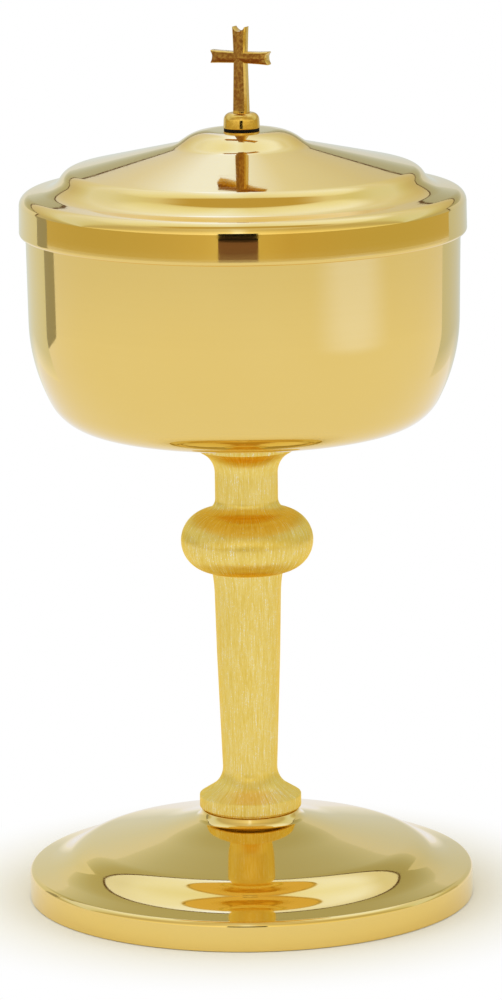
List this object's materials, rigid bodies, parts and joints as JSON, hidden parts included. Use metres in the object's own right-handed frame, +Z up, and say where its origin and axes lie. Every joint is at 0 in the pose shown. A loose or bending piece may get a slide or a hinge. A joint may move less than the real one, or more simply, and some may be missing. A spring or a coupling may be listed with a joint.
{
  "type": "ciborium",
  "caption": "Covered ciborium: deep polished bowl with a lift-off stepped lid and cross finial, on a brushed stem with a round knop and a wide spun foot",
  "frame": {"origin": "centre of the foot's underside, on the surface it stands on", "axes": "+Z up along the stem, +X to the right and -Y towards the viewer in the picture"},
  "size_m": [0.12, 0.12, 0.2349],
  "materials": {
    "polished_gold": "gold-plated brass, mirror polished",
    "satin_gold": "gold-plated brass, scratch-brushed along the stem",
    "cast_gold": "gold-plated casting, rough and toned darker",
    "plain_brass": "turned, bare",
    "plated_steel": "bright zinc plate",
    "dark_fibre": "matt"
  },
  "bodies": {
    "vessel": {"bowl": "polished_gold", "bowl_boss": "plain_brass", "stem_node": "satin_gold", "stem_shaft": "satin_gold", "tie_rod": "plated_steel", "base_shell": "polished_gold", "base_washer": "plated_steel", "lock_washer": "plated_steel", "base_nut": "plated_steel"},
    "lid": {"cross_finial": "cast_gold", "finial_stud": "plain_brass", "finial_washer": "dark_fibre", "lid_shell": "polished_gold", "lid_backing_washer": "plain_brass", "lid_nut": "plain_brass"}
  },
  "joints": [
    {"name": "lid_lift", "type": "slide", "parent": "vessel", "child": "lid", "axis": [0, 0, 1], "range_m": [0, 0.1]}
  ]
}
